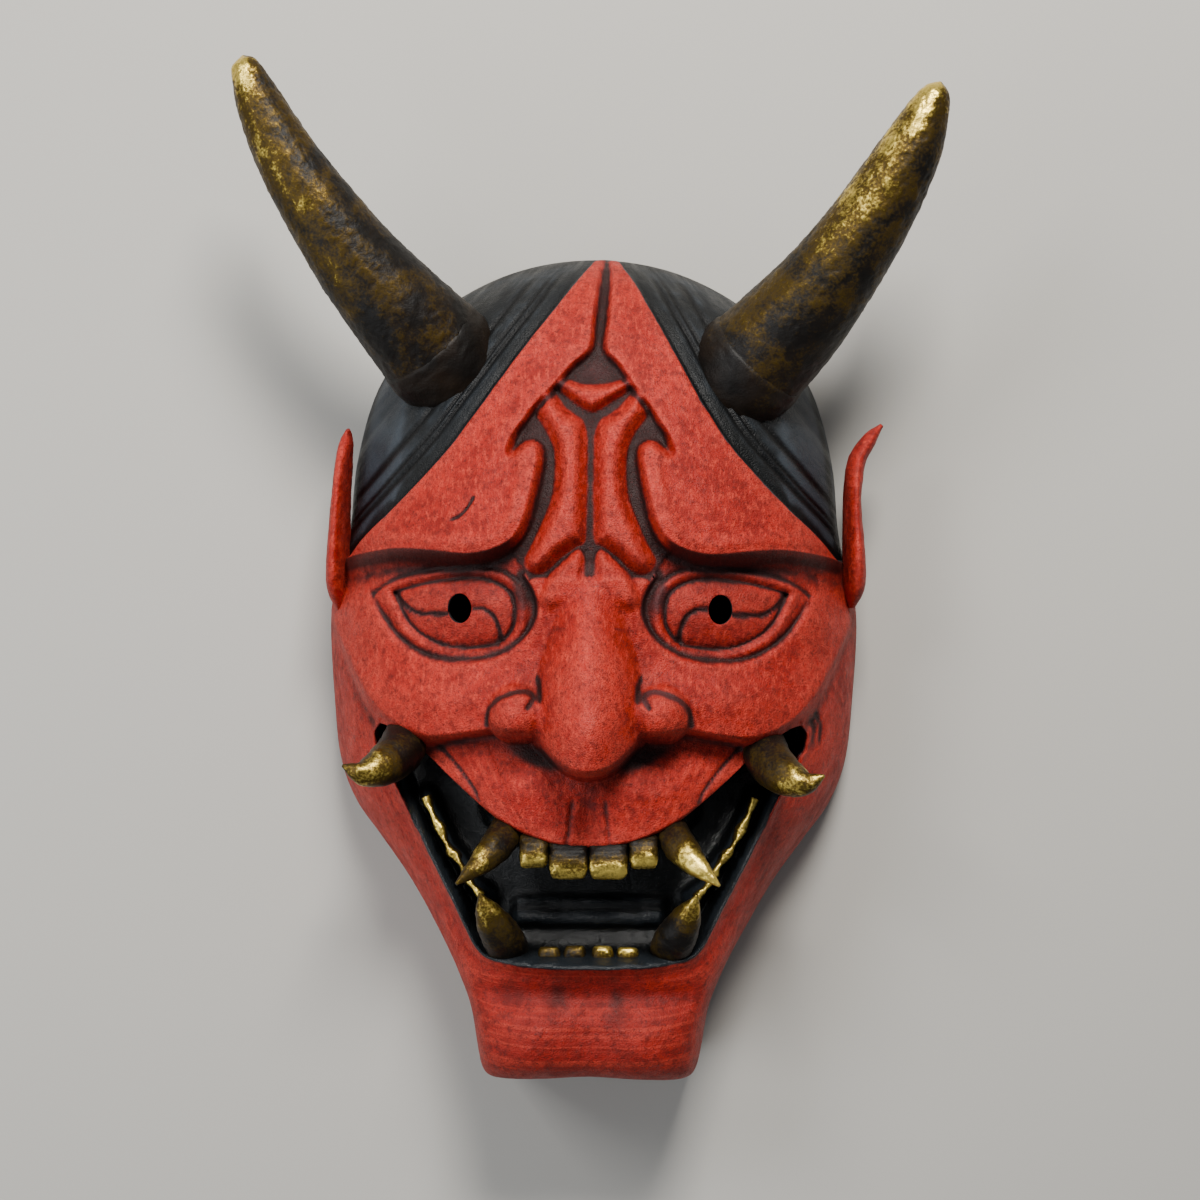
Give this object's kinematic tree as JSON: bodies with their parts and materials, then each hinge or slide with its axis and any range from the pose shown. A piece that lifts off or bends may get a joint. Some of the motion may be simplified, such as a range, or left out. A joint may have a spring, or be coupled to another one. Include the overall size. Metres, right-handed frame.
{
  "type": "hannya mask",
  "caption": "Full-size hannya demon mask of painted cast resin, with two long horns, upright ears and a wide mouth of fangs.",
  "frame": {"origin": "centre of the bounding box's bottom, in the plane of the flat rim that the mask lies on", "axes": "+X to the viewer's right, +Y up the face to the horns, +Z out of the face, away from the wearer"},
  "size_m": [0.201, 0.2952, 0.0956],
  "materials": {
    "red_paint": "matte red brush paint with a dark wash in the carving, on cast resin",
    "black_paint": "satin blue-black paint on the hair cap, gloss black in the mouth",
    "gold_paint": "gold dry-brushed over dark brown, on pitted cast resin"
  },
  "bodies": {
    "root": {"mask_shell": "red_paint", "horn_left": "gold_paint", "horn_right": "gold_paint"}
  },
  "joints": []
}
